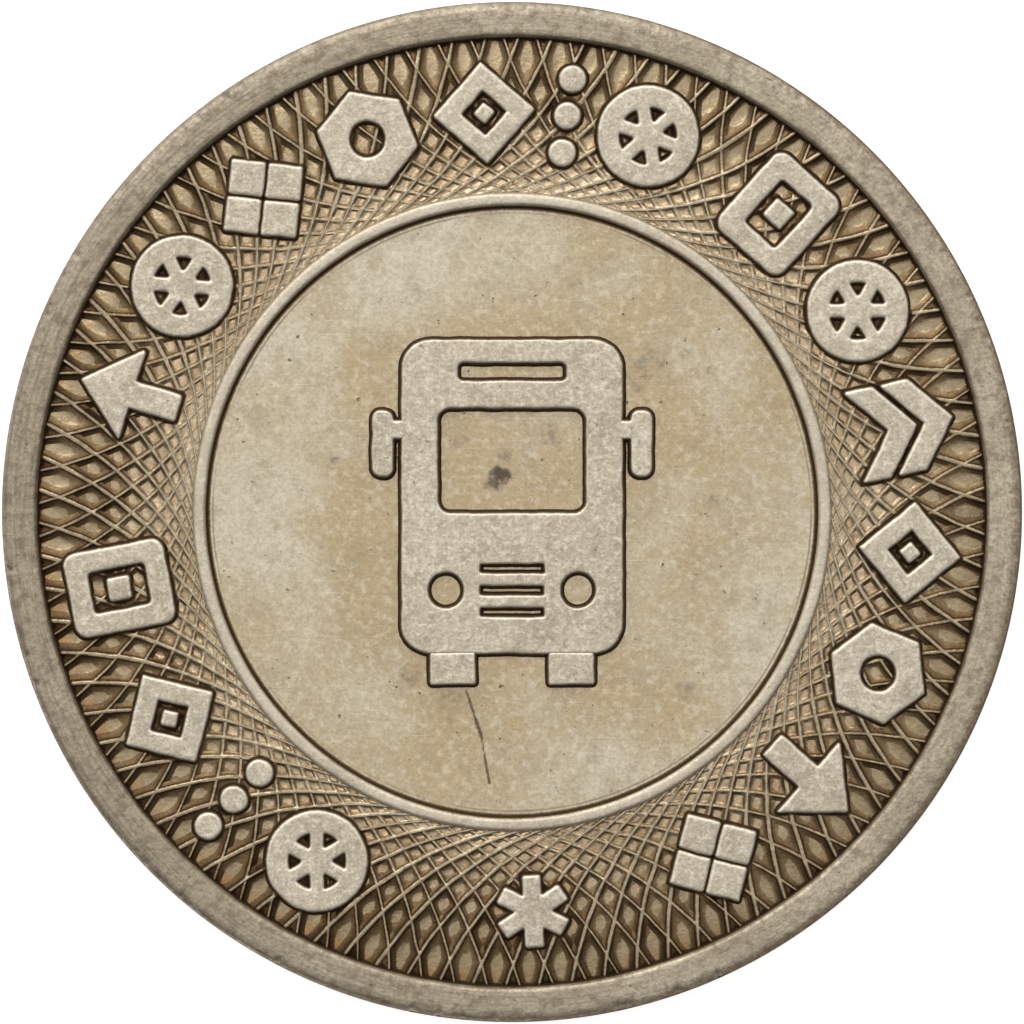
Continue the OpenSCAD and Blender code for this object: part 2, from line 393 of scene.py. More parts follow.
def ridged_metal(name):
    """The engine-turned band: grey crests, brown walls and beige floors in the pits; the walls'
    brown is partly painted shade.
    """
    s = Shader(name)
    size, whim = s.attribute("size"), s.attribute("whim")
    grain = s.noise(0.05, detail=4.0, roughness=0.65)
    torn = s.noise(0.12, detail=3.0, roughness=0.6)
    cloud = s.noise(0.9, detail=4.0, roughness=0.55)
    strong = s.near(s.ragged(s.attribute("near_b"), grain, 0.014), 0.02, 0.4)
    weak = s.near(s.ragged(s.attribute("near_a"), grain, 0.02), 0.016, 0.5)
    crest = s.math("MAXIMUM", strong, s.math("MULTIPLY", weak, 0.7))

    warm = s.mix(s.span(cloud, 0.36, 0.66), rgb(214, 192, 158), rgb(192, 168, 134))
    warm = s.mix(s.span(whim, 0.1, 0.7), warm, rgb(206, 178, 144))
    warm = s.mix(s.span(whim, -0.1, -0.7, 0.0, 0.6), warm, rgb(166, 142, 110))
    warm = s.mix(s.span(size, 0.7, 0.95), warm, rgb(176, 158, 126))
    crest_tone = s.mix(s.span(size, 0.5, 1.0), rgb(190, 177, 152), rgb(180, 164, 137))
    base = s.mix(crest, warm, crest_tone)
    base = s.mix(s.span(torn, 0.42, 0.66, 0.0, 0.35), base, rgb(136, 116, 88))
    base = s.mix(s.span(grain, 0.3, 0.7, 0.0, 0.35), base, rgb(128, 111, 88))
    rust = s.math("MULTIPLY", s.attribute("tone"), 0.7)
    rust = s.math("MULTIPLY", s.span(s.attribute("rim"), 0.0, 0.5), rust)
    rust = s.math("MULTIPLY", rust, s.span(cloud, 0.36, 0.6))
    base = s.mix(s.math("MULTIPLY", rust, s.math("SUBTRACT", 1.0, crest)), base, RUST)
    normal = s.bump(cloud, 0.02, s.bump(torn, 0.008, s.bump(grain, 0.005)))
    grime = band_patina_and_shade(s, crest, grain, torn, cloud)
    return finish_metal(s, base, grime, grain, normal, 0.92, gloss=0.2, dull=0.5)


def field_metal(name):
    """The smooth centre field: beige tone with pale clouds, hairlines and dark specks; the pale
    clouds towards its edge are partly painted sheen, and the brown line round the emblem's feet is
    partly painted shade.
    """
    s = Shader(name)
    stain = s.attribute("stain")
    askew = s.stretched((1, 1, 1), 31)
    grain = s.noise(0.05, detail=4.0, roughness=0.7, vector=askew)
    flecks = s.noise(0.13, detail=5.0, roughness=0.72, vector=askew)
    cloud = s.noise(1.6, detail=5.0, roughness=0.6)
    blotch = s.noise(0.5, detail=5.0, roughness=0.65, vector=askew)
    specks = s.noise(0.15, detail=3.0, roughness=0.65, vector=askew)
    hairs_a = s.noise(1.0, detail=1.0, vector=s.stretched((0.9, 30, 1), 34))
    hairs_b = s.noise(1.0, detail=1.0, vector=s.stretched((1.1, 26, 1), -63))
    hairs = s.math("ADD", s.span(hairs_a, 0.68, 0.76), s.span(hairs_b, 0.68, 0.76))

    # Pale clouds towards the field's edge: partly painted sheen, partly pale tone.
    clouded = s.math("MULTIPLY", s.attribute("pale"), 0.8)
    clouded = s.math("ADD", clouded, s.span(cloud, 0.42, 0.7, 0.0, 0.5))
    clouded = s.ragged(clouded, blotch, 0.8)
    base = s.mix(s.span(clouded, 0.1, 0.9), rgb(196, 176, 139), rgb(218, 208, 185))
    base = s.mix(s.span(blotch, 0.44, 0.66, 0.0, 0.5), base, rgb(176, 157, 126))
    base = s.mix(s.math("MULTIPLY", hairs, 0.3), base, rgb(228, 218, 196))
    base = s.mix(s.span(grain, 0.32, 0.68, 0.0, 0.42), base, rgb(150, 132, 102))
    base = s.mix(s.span(flecks, 0.48, 0.66, 0.0, 0.5), base, rgb(228, 217, 193))
    base = s.mix(s.span(specks, 0.68, 0.73, 0.0, 0.85), base, rgb(92, 73, 54))
    torn = s.ragged(stain, flecks, 2.0)
    spotted = s.math("MULTIPLY", s.span(stain, 0.0, 0.5), s.span(torn, 0.35, 1.1, 0.0, 0.95))
    base = s.mix(spotted, base, rgb(84, 70, 62))
    crack = s.ragged(s.attribute("crack"), grain, 0.5)
    base = s.mix(s.span(crack, 0.2, 0.8, 0.0, 0.8), base, PATINA_AND_SHADE)
    ring_line = s.near(s.differ(s.attribute("reach"), FIELD_LINE_R), 0.014, 0.5)
    drawn = s.math("MULTIPLY", ring_line, s.span(cloud, 0.4, 0.6, 0.0, 0.6))
    base = s.mix(drawn, base, rgb(120, 102, 78))
    # A brown line round the emblem's feet: partly patina, partly painted shade.
    foot = s.near(s.ragged(s.attribute("away"), flecks, 0.05), 0.056, 0.3)
    base = s.mix(foot, base, rgb(92, 62, 42))
    grime = s.math("MAXIMUM", s.attribute("grime"), s.math("MULTIPLY", foot, 0.5))
    normal = s.bump(specks, 0.006, s.bump(hairs, 0.0006, s.bump(grain, 0.003)))
    return finish_metal(s, base, grime, grain, normal, 0.7)


# ---- pieces ----


def to_row_frame(points, side):
    """Millimetres in a face's own frame to metres in the row frame."""
    turned = np.array(points, float) * MM
    if side == REVERSE:
        turned[:, 1:] *= -1
    return turned


def bearing_weight(x, y, bearing):
    """A weight from 0 to 1, most at one bearing, in degrees: it sets where the band and rim are
    painted darker as shade, where rust gathers, and where the rim's dents get painted glints.
    """
    turn = math.radians(bearing)
    toward = (x * math.cos(turn) + y * math.sin(turn)) / TOKEN_R
    return smooth_step(-0.7, 1.0, toward + 0.15 * layered_noise(x * 0.3, y * 0.3, 7))


def make_piece(name, points, faces, side, material, nodes, attributes, crease=None):
    """One closed mesh that rides the token and stands for CAD nodes."""
    mesh = bpy.data.meshes.new(name)
    mesh.from_pydata(to_row_frame(points, side).tolist(), [], faces)
    mesh.update()
    for key, values in attributes.items():
        layer = mesh.attributes.new(key, "FLOAT", "POINT")
        layer.data.foreach_set("value", np.asarray(values, np.float32))
    mesh.polygons.foreach_set("use_smooth", [True] * len(mesh.polygons))
    if crease:
        mesh.set_sharp_from_angle(angle=math.radians(crease))
    mesh.materials.append(material)
    piece = bpy.data.objects.new(name, mesh)
    bpy.context.scene.collection.objects.link(piece)
    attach(piece, "root")
    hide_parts(*nodes)
    return piece


def ring_faces(steps, count):
    """Quads of a surface that closes both round the axis and round its profile."""
    faces = []
    for i in range(steps):
        here, there = i * count, (i + 1) % steps * count
        for j in range(count):
            k = (j + 1) % count
            faces.append((here + j, there + j, there + k, here + k))
    return faces


def turned_ring(profile, steps, warp):
    """A closed profile of (radius, height) turned round the axis; warp moves its points."""
    angle = np.linspace(0, 2 * math.pi, steps, endpoint=False)
    profile = np.array(profile, float)
    r = np.repeat(profile[None, :, 0], steps, 0)
    z = np.repeat(profile[None, :, 1], steps, 0)
    a = np.repeat(angle[:, None], len(profile), 1)
    r, z = warp(a, r, z)
    points = np.stack([r * np.cos(a), r * np.sin(a), z], -1).reshape(-1, 3)
    return points, ring_faces(steps, len(profile)), (a.ravel(), r.ravel(), z.ravel())


def rim_profile():
    """The rim's cross-section, counter-clockwise with the axis at the left."""
    flat_r = TOKEN_R - RIM_CORNER_W
    shoulder_r = RIM_INNER_R + RIM_SHOULDER_W
    corner = []
    for i in range(1, 9):
        turn = i / 8 * math.pi / 2
        corner.append((flat_r + (TOKEN_R - flat_r) * math.sin(turn) ** 0.9,
                       WALL_Z + (TOP_Z - WALL_Z) * math.cos(turn) ** 0.75))
    corner[-1] = (TOKEN_R, WALL_Z)
    wall = [(RIM_INNER_R - 0.03, HIDDEN_FOOT_Z), (RIM_INNER_R - 0.012, BAND_Z - 0.02),
            (RIM_INNER_R + 0.012, BAND_Z + 0.06), (RIM_INNER_R + 0.032, TOP_Z - 0.05),
            (RIM_INNER_R + 0.05, TOP_Z - 0.022), (RIM_INNER_R + 0.075, TOP_Z - 0.006),
            (shoulder_r, TOP_Z)]
    land = [(shoulder_r + (flat_r - shoulder_r) * i / 5, TOP_Z) for i in range(1, 6)]
    back = [(TOKEN_R - 0.12, WALL_Z), (RIM_INNER_R + 0.1, HIDDEN_FOOT_Z)]
    return [*wall, *land, *corner, *back][::-1]


def nick_field(angle, seed):
    """Depths of the dents round the rim's outer corner, from 0 to 1."""
    rng = np.random.default_rng(seed)
    depth = np.zeros_like(angle)
    for _ in range(NICKS):
        at = rng.uniform(0, 2 * math.pi)
        half_width = rng.uniform(0.003, 0.012)
        size = rng.uniform(0.15, 1.0) ** 2
        away = np.abs((angle - at + math.pi) % (2 * math.pi) - math.pi)
        depth = np.maximum(depth, size * smooth_step(half_width, 0, away))
    return depth


def make_rim(face, side, material):
    """A raised rim with an uneven inner wall and dents round its outer corner."""
    seed = 11 if side == OBVERSE else 31

    def warp(a, r, z):
        x, y = r * np.cos(a), r * np.sin(a)
        high = smooth_step(BAND_Z, TOP_Z, z)
        z = z - high * 0.004 * (1 + layered_noise(x * 1.2, y * 1.2, seed))
        inner = smooth_step(RIM_INNER_R + RIM_SHOULDER_W, RIM_INNER_R, r) * high
        r = r + inner * 0.012 * layered_noise(x * 2.5, y * 2.5, seed + 5)
        nick = nick_field(a, seed) * smooth_step(TOKEN_R - RIM_CORNER_W, TOKEN_R - 0.05, r)
        r = r - NICK_W * nick
        z = z - NICK_DROP * nick * high
        return np.minimum(r, TOKEN_R), np.minimum(z, TOP_Z)

    points, faces, (a, r, z) = turned_ring(rim_profile(), RIM_STEPS, warp)
    # The inner wall is darkened towards the band, partly patina and partly painted shade; the outer
    # corner is darker, most towards the right.
    foot = smooth_step(TOP_Z - 0.02, BAND_Z + 0.05, z)
    foot *= smooth_step(RIM_INNER_R + 0.1, RIM_INNER_R, r)
    x, y = r * np.cos(a), r * np.sin(a)
    brink = 0.42 * smooth_step(TOKEN_R - 0.06, TOKEN_R, r)
    brink += 0.3 * smooth_step(TOKEN_R - 0.3, TOKEN_R - 0.05, r) * bearing_weight(x, y, -10)
    # Painted glints: pale dents on the outer corner, mostly towards the upper right, partly worn
    # bright metal.
    bright = nick_field(a, seed + 2) * smooth_step(TOKEN_R - 0.14, TOKEN_R - 0.05, r)
    bright *= bearing_weight(x, y, 35) ** 2
    # The rim is painted darker towards -X, partly as shade.
    attributes = {"grime": np.maximum(foot, brink), "tone": bearing_weight(x, y, 180), "bright": bright}
    return make_piece(f"{face}_rim_worn", points, faces, side, material,
                      [f"{face}_rim"], attributes)


def make_edge(material):
    """The plain edge between the two rims, with fine collar streaks and a few dents."""
    profile = [(TOKEN_R, z) for z in np.linspace(-WALL_Z, WALL_Z, EDGE_LEVELS)]
    profile += [(TOKEN_R - EDGE_DEPTH, WALL_Z), (TOKEN_R - EDGE_DEPTH, -WALL_Z)]

    def warp(a, r, z):
        outside = r > TOKEN_R - 0.01
        drag = layered_noise(a * 260, z * 1.5, 41)
        dents = smooth_step(0.55, 0.95, smooth_noise(a * 16, z * 3, 43))
        inset = 0.004 * (1 + drag) + 0.02 * dents
        calm = smooth_step(WALL_Z, WALL_Z - 0.06, np.abs(z))
        return np.where(outside, r - inset * calm, r), z

    points, faces, (a, r, z) = turned_ring(profile, RIM_STEPS, warp)
    grime = 0.25 + 0.2 * layered_noise(a * 5, z * 2, 47)
    return make_piece("edge_band_worn", points, faces, OBVERSE, material,
                      ["edge_band"], {"grime": np.clip(grime, 0, 1)})


def make_inner_ring(face, side, material):
    """The raised ring between the field and the band, with rounded shoulders."""
    seed = 51 if side == OBVERSE else 61
    mid_r = (RING_OUTER_R + RING_INNER_R) / 2
    profile = [(RING_INNER_R - 0.03, HIDDEN_FOOT_Z), (RING_INNER_R - 0.015, FIELD_Z - 0.01),
               (RING_INNER_R + 0.02, FIELD_Z + 0.05), (RING_INNER_R + 0.04, RING_Z - 0.02),
               (RING_INNER_R + 0.06, RING_Z - 0.005), (RING_INNER_R + 0.09, RING_Z),
               (mid_r, RING_Z),
               (RING_OUTER_R - 0.09, RING_Z), (RING_OUTER_R - 0.055, RING_Z - 0.006),
               (RING_OUTER_R - 0.03, RING_Z - 0.025), (RING_OUTER_R - 0.01, BAND_Z + 0.04),
               (RING_OUTER_R + 0.01, BAND_Z - 0.02), (RING_OUTER_R + 0.02, HIDDEN_FOOT_Z)]

    def warp(a, r, z):
        x, y = r * np.cos(a), r * np.sin(a)
        high = smooth_step(FIELD_Z, RING_Z, z)
        r = r + high * 0.009 * layered_noise(x * 2.2, y * 2.2, seed) * np.sign(r - mid_r)
        z = z - high * 0.004 * (1 + layered_noise(x * 2, y * 2, seed + 3))
        return r, z

    points, faces, (a, r, z) = turned_ring(profile[::-1], RING_STEPS, warp)
    # Both walls are darkened towards their feet: partly patina, partly painted shade.
    inner = 0.75 * smooth_step(RING_Z - 0.012, FIELD_Z + 0.04, z) * (r < mid_r)
    outer = 0.6 * smooth_step(RING_Z - 0.03, BAND_Z, z) * (r > mid_r)
    return make_piece(f"{face}_inner_ring_worn", points, faces, side, material,
                      [f"{face}_inner_ring"], {"grime": np.maximum(inner, outer)})


# ---- the engine-turned band ----


def crossing_radius(row):
    """Radius, in millimetres, at which lines a number of rows apart cross."""
    reach = NEAREST_R + CIRCLE_R
    turn = np.radians(row * PITCH / 2)
    under = np.maximum(CIRCLE_R**2 - (reach * np.sin(turn)) ** 2, 0)
    return TOKEN_R * (reach * np.cos(turn) - np.sqrt(under))


def line_gap(row):
    """Distance between neighbouring lines of one family at a row."""
    step = 1e-3
    slope = (crossing_radius(row + step) - crossing_radius(row - step)) / (2 * step)
    along = np.radians(PITCH / 2) * crossing_radius(row)
    return 2 * along * slope / np.hypot(along, slope)


def pit_shape(gap):
    """A pit's relative size, and how far from the crest line its wall and its floor start."""
    size = np.clip(gap / WIDE_GAP, 0.2, 1)
    return size, CREST_HALF_W + BRINK_W * size, FLOOR_FROM * size


def cell_stops(gap):
    """Places across a cell as shares of its width: crest, its edge and foot, wall foot, middle."""
    edge = np.minimum(CREST_HALF_W / gap, 0.12)
    size, foot, floor = pit_shape(gap)
    near = [np.zeros_like(gap), edge, foot / gap, 1.05 * floor / gap, np.full_like(gap, 0.5)]
    return np.stack([*near, *[1 - stop for stop in near[-2::-1]]])


def cell_grid(row):
    """Where the mesh lines of one cell meet, as (across one family, across the other)."""
    i, j = np.meshgrid(np.arange(9), np.arange(9), indexing="ij")
    at = np.full(i.shape, float(row))
    for _ in range(20):
        stops = cell_stops(line_gap(np.clip(at, FIRST_ROW, LAST_ROW)))
        u = np.take_along_axis(stops, i[None], 0)[0]
        v = np.take_along_axis(stops, j[None], 0)[0]
        at = row + v - u
    return u, row + v


def clipped(polygon, limit, sign):
    """The part of a polygon on one side of a row."""
    kept = []
    for (a0, b0), (a1, b1) in zip(polygon, polygon[1:] + polygon[:1]):
        here, there = sign * (limit - (b0 - a0)), sign * (limit - (b1 - a1))
        if here >= 0:
            kept.append((a0, b0))
        if here * there < 0:
            t = here / (here - there)
            kept.append((a0 + (a1 - a0) * t, b0 + (b1 - b0) * t))
    return kept


def sector_polygons():
    """Mesh faces of one strip of cells, from the inner ring to the rim."""
    polygons = []
    for row in range(int(FIRST_ROW), int(LAST_ROW) + 2):
        u, v = cell_grid(row)
        for i in range(8):
            for j in range(8):
                around = ((i, j), (i, j + 1), (i + 1, j + 1), (i + 1, j))
                corners = [(u[m, n], v[m, n]) for m, n in around]
                corners = clipped(clipped(corners, LAST_ROW, 1), FIRST_ROW, -1)
                if len(corners) > 2:
                    polygons.append(corners)
    return polygons


def whole_band(polygons):
    """One strip repeated all the way round, with its shared points joined."""
    flat = np.array([point for polygon in polygons for point in polygon])
    sizes = [len(polygon) for polygon in polygons]
    turns = np.arange(LINES)[:, None]
    row = np.round(flat[:, 1] - flat[:, 0], 5) + 0 * turns
    place = np.round((flat.sum(1) + 2 * turns) % (2 * LINES), 5) % (2 * LINES)
    keys = np.stack([row.ravel(), place.ravel()], -1)
    unique, index = np.unique(np.round(keys, 4), axis=0, return_inverse=True)
    index = index.ravel().tolist()
    faces, at = [], 0
    for _ in range(LINES):
        for size in sizes:
            face = index[at : at + size]
            at += size
            face = [v for k, v in enumerate(face) if v != face[k - 1]]
            if len(face) > 2:
                faces.append(tuple(face))
    return unique[:, 0], unique[:, 1], faces


def open_edges(faces):
    """Directed edges that belong to one face only."""
    seen = {(f[k - 1], f[k]) for f in faces for k in range(len(f))}
    return [edge for edge in seen if edge[::-1] not in seen]


def closing_faces(points, edges, faces):
    """Skirts from the open edges down to the hidden foot, and the underside between them."""
    loose = sorted({v for edge in edges for v in edge})
    low = {v: len(points) + k for k, v in enumerate(loose)}
    foot = points[loose].copy()
    foot[:, 2] = HIDDEN_FOOT_Z
    faces = faces + [(b, a, low[a], low[b]) for a, b in edges]
    middle = 0.5 * (RING_OUTER_R + RIM_INNER_R)
    angle, away = np.arctan2(points[:, 1], points[:, 0]), np.hypot(points[:, 0], points[:, 1])
    outer = sorted((v for v in loose if away[v] > middle), key=lambda v: angle[v])
    inner = sorted((v for v in loose if away[v] < middle), key=lambda v: angle[v])
    i = j = 0
    while i < len(outer) or j < len(inner):
        far, near = outer[i % len(outer)], inner[j % len(inner)]
        next_far, next_near = outer[(i + 1) % len(outer)], inner[(j + 1) % len(inner)]
        far_turn = angle[next_far] + 2 * math.pi * ((i + 1) // len(outer))
        near_turn = angle[next_near] + 2 * math.pi * ((j + 1) // len(inner))
        if j == len(inner) or (i < len(outer) and far_turn <= near_turn):
            faces.append((low[next_far], low[far], low[near]))
            i += 1
        else:
            faces.append((low[far], low[near], low[next_near]))
            j += 1
    return np.concatenate([points, foot]), faces


def line_shake(line, seed):
    """A number from -1 to 1 for each line, the same all along it."""
    table = np.random.default_rng(seed).uniform(-1, 1, LINES)
    return table[np.round(line).astype(int) % LINES]


def ridge_distances(a, b, gap, seed):
    """Distance to the nearest ridge of each family, scaled by that ridge's own width."""
    widths = []
    for k, (line, width) in enumerate(zip((a, b), FAMILY_WIDTHS)):
        widths.append(width + WIDTH_SHAKE * line_shake(line, seed + k))
    return [np.abs(line - np.round(line)) * gap / width for line, width in zip((a, b), widths)]


def lattice_height(x, y, gap, slope, whim, from_a, from_b, rounded, seed):
    """Height of the band: a crest, its brink, the wall and the slightly domed floor."""
    size, foot, floor = pit_shape(gap)
    brink = np.clip((np.minimum(from_a, from_b) - CREST_HALF_W) / (foot - CREST_HALF_W), 0, 1)
    wall = np.clip((rounded - foot) / (floor - foot), 0, 1)
    fall = (brink * CREST_DROP + wall * (1 - CREST_DROP)) * size
    height = CREST_Z - fall * (PIT_DEPTH * (1 + 0.35 * whim) + slope)
    height += 0.01 * smooth_step(foot, CREST_HALF_W, from_b)
    height += DOME * size * np.clip((rounded - floor) / (0.4 * gap - floor), 0, 1)
    worn_down = 1 + layered_noise(x * 1.5, y * 1.5, seed + 3)
    worn_down += smooth_noise(x * 7, y * 7, seed + 4)
    return height - 0.009 * np.maximum(worn_down, 0) * (fall < 0.1)


def wandering(x, y, seed):
    """Places moved a little to either side, but not beside the rim or the inner ring."""
    r = np.hypot(x, y)
    calm = smooth_step(RING_OUTER_R, RING_OUTER_R + 0.3, r)
    calm *= smooth_step(RIM_INNER_R, RIM_INNER_R - 0.3, r)
    moves = [WANDER * calm * layered_noise(x * 2.6, y * 2.6, seed + k) for k in (0, 5)]
    return x + moves[0], y + moves[1]


def make_lattice(face, side, material, feet):
    """The net of crossing ridges with flat-bottomed pits between them."""
    row, place, faces = whole_band(sector_polygons())
    seed = 71 if side == OBVERSE else 171
    a, b = (place - row) / 2, (place + row) / 2
    r, angle = crossing_radius(row), np.radians(PITCH / 2 * place + LINE_START)
    x, y = r * np.cos(angle), r * np.sin(angle)
    gap = line_gap(row)
    from_a, from_b = ridge_distances(a, b, gap, seed)
    rounded = (np.maximum(from_a, 1e-4) ** -3 + np.maximum(from_b, 1e-4) ** -3) ** (-1 / 3)

    # each pit has its own depth, and its floor falls towards the rim
    middle_a, middle_b = np.floor(a) + 0.5, np.floor(b) + 0.5
    middle_row = np.clip(middle_b - middle_a, FIRST_ROW, LAST_ROW)
    slope = (r - crossing_radius(middle_row)) * FLOOR_TILT
    whim = layered_noise(middle_a * 3.1, middle_b * 2.7, seed + 2)
    height = lattice_height(x, y, gap, slope, whim, from_a, from_b, rounded, seed)

    # no pit goes through the band, and the band meets the rim low down
    shade_rim = smooth_step(RIM_INNER_R - 0.28, RIM_INNER_R - 0.02, r)
    height = np.maximum(height - 0.03 * shade_rim**3, CORE_Z + 0.02)
    surface = np.stack([*wandering(x, y, seed + 6), height], -1)
    points, faces = closing_faces(surface, open_edges(faces), faces)
    pad = np.zeros(len(points) - len(x))
    size, _, floor = pit_shape(gap)
    values = {"near_a": from_a, "near_b": from_b, "floor": rounded / floor, "whim": whim,
              "size": size, "rim": shade_rim, "away": distance_to(x, y, feet),
              # The band is painted darker towards the lower left, as shade, and its rust gathers on
              # that side.
              "tone": bearing_weight(x, y, -118)}
    attributes = {key: np.concatenate([value, pad]) for key, value in values.items()}
    return make_piece(f"{face}_lattice_ridges", points, faces, side, material,
                      [f"{face}_lattice_band"], attributes, crease=22)


# ---- the centre field ----


def disc_grid(cells):
    """Points of a square grid pressed evenly into a unit disc, with its quads and its rim."""
    line = np.linspace(-1, 1, cells + 1)
    x, y = (m.ravel() for m in np.meshgrid(line, line, indexing="ij"))
    wide = np.abs(x) >= np.abs(y)
    radius = np.where(wide, x, y)
    safe = np.where(radius == 0, 1, radius)
    turn = np.where(wide, math.pi / 4 * y / safe, math.pi / 2 - math.pi / 4 * x / safe)
    flat = np.stack([radius * np.cos(turn), radius * np.sin(turn)], -1)
    n = cells + 1
    quads = [(i * n + j, (i + 1) * n + j, (i + 1) * n + j + 1, i * n + j + 1)
             for i in range(cells) for j in range(cells)]
    rim = [i * n for i in range(cells)] + [cells * n + j for j in range(cells)]
    rim += [i * n + cells for i in range(cells, 0, -1)] + [j for j in range(cells, 0, -1)]
    return flat, quads, rim


def make_field(face, side, material, outlines):
    """The smooth field, very slightly dished, with its stains and crack on the obverse only."""
    seed = 81 if side == OBVERSE else 91
    flat, faces, rim = disc_grid(FIELD_CELLS)
    flat = flat * (RING_INNER_R + 0.01)
    x, y = flat[:, 0], flat[:, 1]
    r = np.hypot(x, y)
    share = r / RING_INNER_R
    z = FIELD_Z - FIELD_DISH + FIELD_DISH * share**4
    z = z + 0.0015 * layered_noise(x * 1.2, y * 1.2, seed)
    # The field is darkened at the foot of the inner ring and slightly near its edge: partly patina,
    # partly painted shade.
    wall = 0.75 * smooth_step(RING_INNER_R - 0.055, RING_INNER_R - 0.01, r)
    grime = np.maximum(wall, 0.12 * smooth_step(0.86, 1.0, share))
    # Paler towards the field's edge in clouds: partly painted sheen, partly pale tone.
    pale = 0.55 + 0.6 * layered_noise(x * 0.45, y * 0.45, seed + 4)
    pale = np.clip(smooth_step(0.5, 0.85, share) * pale, 0, 1)
    stain = stains(x, y) if side == OBVERSE else np.zeros_like(x)
    crack = crack_depth(x, y) if side == OBVERSE else np.zeros_like(x)
    z = z - 0.006 * crack
    values = {"stain": stain, "pale": pale, "crack": crack, "reach": r,
              "away": distance_to(x, y, outlines)}

    count, around = len(flat), len(rim)
    low = np.stack([x[rim], y[rim], np.full(around, HIDDEN_FOOT_Z)], -1)
    points = np.concatenate([np.stack([x, y, z], -1), low, [[0, 0, HIDDEN_FOOT_Z]]])
    for m in range(around):
        n = (m + 1) % around
        faces.append((rim[m], count + m, count + n, rim[n]))
        faces.append((count + m, count + around, count + n))
    pad = np.zeros(around + 1)
    attributes = {key: np.concatenate([value, pad]) for key, value in values.items()}
    attributes["grime"] = np.concatenate([grime, pad + 1])
    return make_piece(f"{face}_centre_field_toned", points, faces, side, material,
                      [f"{face}_centre_field"], attributes)


def stains(x, y):
    """Dark marks on the obverse field: place, size and depth, as shares of the token's radius."""
    spots = [(-0.03, 0.07, 0.036, 1.0), (-0.012, 0.105, 0.03, 0.6), (0.26, 0.275, 0.08, 0.55),
             (0.34, 0.31, 0.025, 0.6), (0.39, 0.28, 0.02, 0.6), (0.08, 0.15, 0.05, 0.6),
             (-0.1, 0.14, 0.03, 0.6), (-0.12, -0.38, 0.06, 0.55), (-0.2, -0.32, 0.035, 0.6),
             (0.34, -0.35, 0.03, 0.55), (-0.36, 0.1, 0.03, 0.5), (-0.3, -0.08, 0.04, 0.5),
             (0.12, 0.45, 0.03, 0.5), (-0.2, 0.42, 0.04, 0.45), (0.4, 0.02, 0.03, 0.5)]
    total = np.zeros_like(x)
    for at_x, at_y, size, depth in spots:
        away = np.hypot(x - at_x * TOKEN_R, y - at_y * TOKEN_R) / (size * TOKEN_R)
        away = away + 0.45 * layered_noise(x * 5, y * 5, 97)
        total = np.maximum(total, depth * smooth_step(1.2, 0.2, away))
    return total


def crack_depth(x, y):
    """A hairline crack that runs down from the emblem, with its places as shares of the radius."""
    ways = [((-0.09, -0.35), (-0.06, -0.44)), ((-0.06, -0.44), (-0.045, -0.53))]
    total = np.zeros_like(x)
    for (x0, y0), (x1, y1) in ways:
        step = np.array([x1 - x0, y1 - y0]) * TOKEN_R
        fx, fy = x - x0 * TOKEN_R, y - y0 * TOKEN_R
        t = np.clip((fx * step[0] + fy * step[1]) / (step @ step), 0, 1)
        away = np.hypot(fx - t * step[0], fy - t * step[1])
        away = away + 0.012 * smooth_noise(x * 7, y * 7, 99)
        total = np.maximum(total, smooth_step(0.04, 0.005, away))
    return total


# ---- raised figures ----


def millimetre_mesh(node):
    """A CAD node's mesh in millimetres in its own face's frame, with its corners joined."""
    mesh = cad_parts[node].data.copy()
    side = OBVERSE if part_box(node)[1].z > 0 else REVERSE
    turn = Matrix.Rotation(math.pi, 4, "X") if side == REVERSE else Matrix.Identity(4)
    mesh.transform(turn @ Matrix.Scale(1 / MM, 4))
    work = bmesh.new()
    work.from_mesh(mesh)
    bmesh.ops.remove_doubles(work, verts=work.verts, dist=1e-4)
    return mesh, work


def top_outline(node):
    """Points spaced along a figure's top edges."""
    mesh, work = millimetre_mesh(node)
    top = max(v.co.z for v in work.verts)
    found = []
    for e in work.edges:
        a, b = (v.co for v in e.verts)
        if min(a.z, b.z) < top - 1e-3:
            continue
        if all(abs(f.normal.z) > 0.5 for f in e.link_faces):
            continue
        steps = max(1, int((a - b).length / 0.02))
        found += [a.lerp(b, (k + 0.5) / steps)[:2] for k in range(steps)]
    work.free()
    bpy.data.meshes.remove(mesh)
    return np.array(found)


def distance_to(x, y, outlines):
    """Distance from each place to the nearest of the outline points."""
    tree = KDTree(len(outlines))
    for i, (px, py) in enumerate(outlines):
        tree.insert((px, py, 0), i)
    tree.balance()
    return np.array([tree.find((px, py, 0))[2] for px, py in zip(x, y)])


def relax(points, edges, rounds):
    """Moves each point halfway towards the middle of its neighbours."""
    for _ in range(rounds):
        total, count = np.zeros_like(points), np.zeros(len(points))
        for a, b in ((0, 1), (1, 0)):
            np.add.at(total, edges[:, a], points[edges[:, b]])
            np.add.at(count, edges[:, a], 1)
        points = (points + total / np.maximum(count, 1)[:, None]) / 2
    return points


def bury_arms(points, body_half_width):
    """Runs the inner ends of the mirror arms on into the body, so that no seam shows."""
    inner = np.abs(points[:, 0]) < body_half_width + ARM_TAIL
    points[inner, 0] -= np.sign(points[inner, 0]) * 2 * ARM_TAIL


def standing_mesh(node):
    """A figure's CAD mesh with its foot moved down to the hidden foot, and its old heights."""
    mesh, work = millimetre_mesh(node)
    top, low = max(v.co.z for v in work.verts), min(v.co.z for v in work.verts)
    for v in work.verts:
        if v.co.z < (top + low) / 2:
            v.co.z = HIDDEN_FOOT_Z
    work.to_mesh(mesh)
    work.free()
    return mesh, low, top


